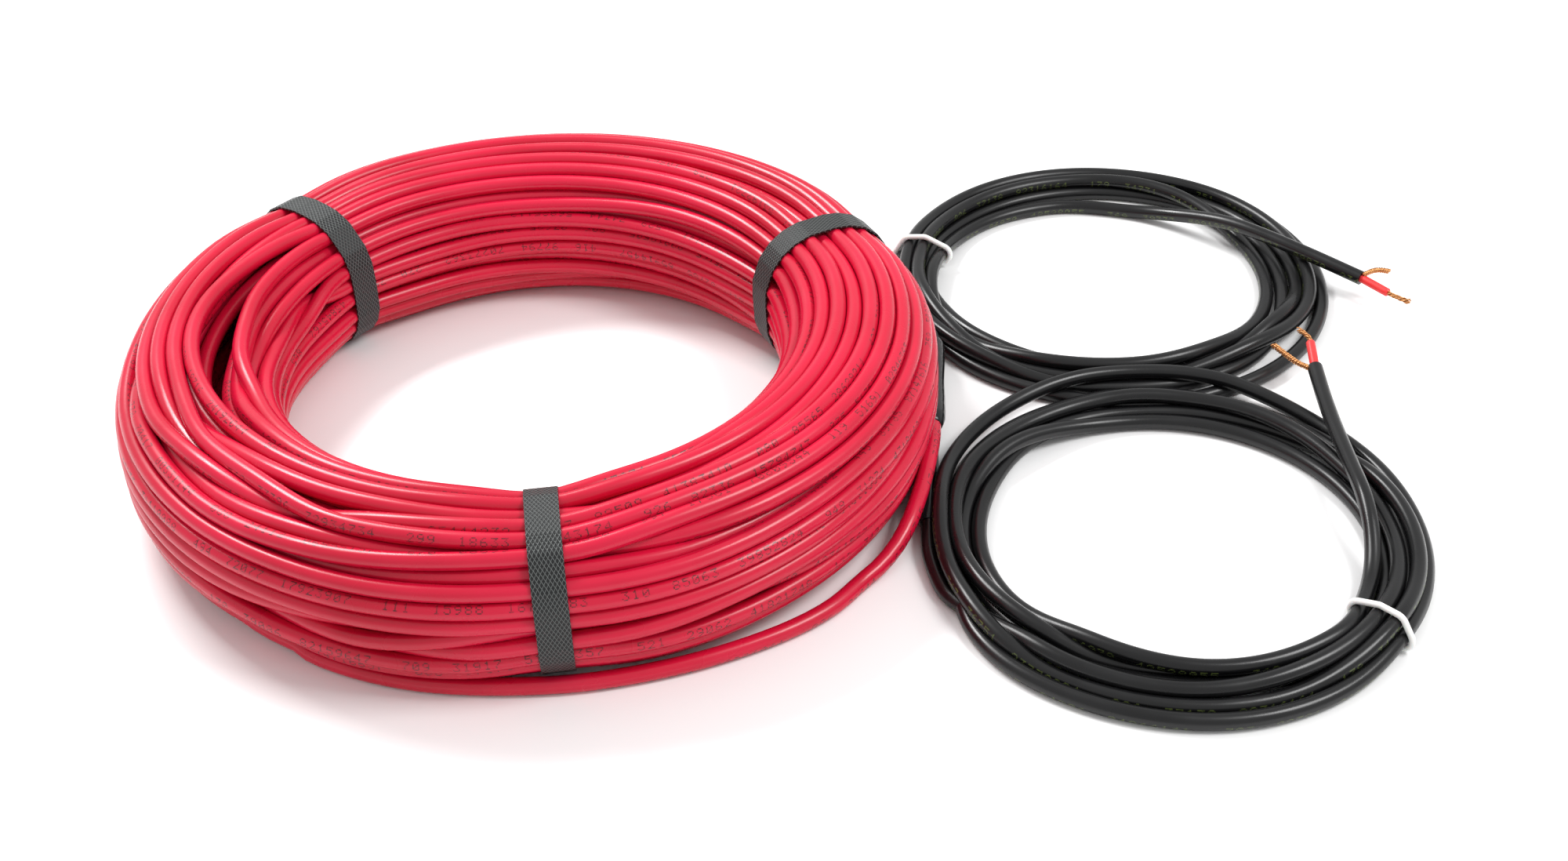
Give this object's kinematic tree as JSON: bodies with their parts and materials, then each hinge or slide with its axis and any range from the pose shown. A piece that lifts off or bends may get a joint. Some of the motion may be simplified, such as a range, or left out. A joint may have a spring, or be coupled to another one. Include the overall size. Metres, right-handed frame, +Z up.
{
  "type": "heating cable",
  "caption": "Strapped round coil of red electric heating cable with spliced black cold leads, each wound and tied in its own small coil with bared ends.",
  "frame": {"origin": "on the floor under the middle of the red coil, the bottom centre of the coil with its straps", "axes": "+Z up through the coil's bore, +X towards the cold leads, -Y towards the strap at the front"},
  "size_m": [0.4446, 0.313, 0.0519],
  "materials": {
    "red_sheath": "satin gloss extruded PVC",
    "black_sheath": "satin extruded PVC",
    "webbing": "woven polypropylene strapping",
    "shrink_sleeve": "glossy heat-shrink tube",
    "white_tie": "satin PVC covered wire",
    "red_core": "satin core insulation",
    "bare_copper": "bright twisted copper strands"
  },
  "bodies": {
    "root": {"heating_cable_coil": "red_sheath", "heating_cable_tail": "red_sheath", "heating_cable_loop": "red_sheath", "strap_front": "webbing", "strap_right": "webbing", "strap_left": "webbing", "splice_sleeve_front": "shrink_sleeve", "splice_sleeve_rear": "shrink_sleeve", "front_lead_start": "black_sheath", "front_lead_coil": "black_sheath", "front_lead_end": "black_sheath", "front_lead_tie": "white_tie", "front_lead_core": "red_core", "front_lead_conductor": "bare_copper", "front_lead_screen": "bare_copper", "rear_lead_start": "black_sheath", "rear_lead_coil": "black_sheath", "rear_lead_end": "black_sheath", "rear_lead_tie": "white_tie", "rear_lead_core": "red_core", "rear_lead_conductor": "bare_copper", "rear_lead_screen": "bare_copper"}
  },
  "joints": []
}
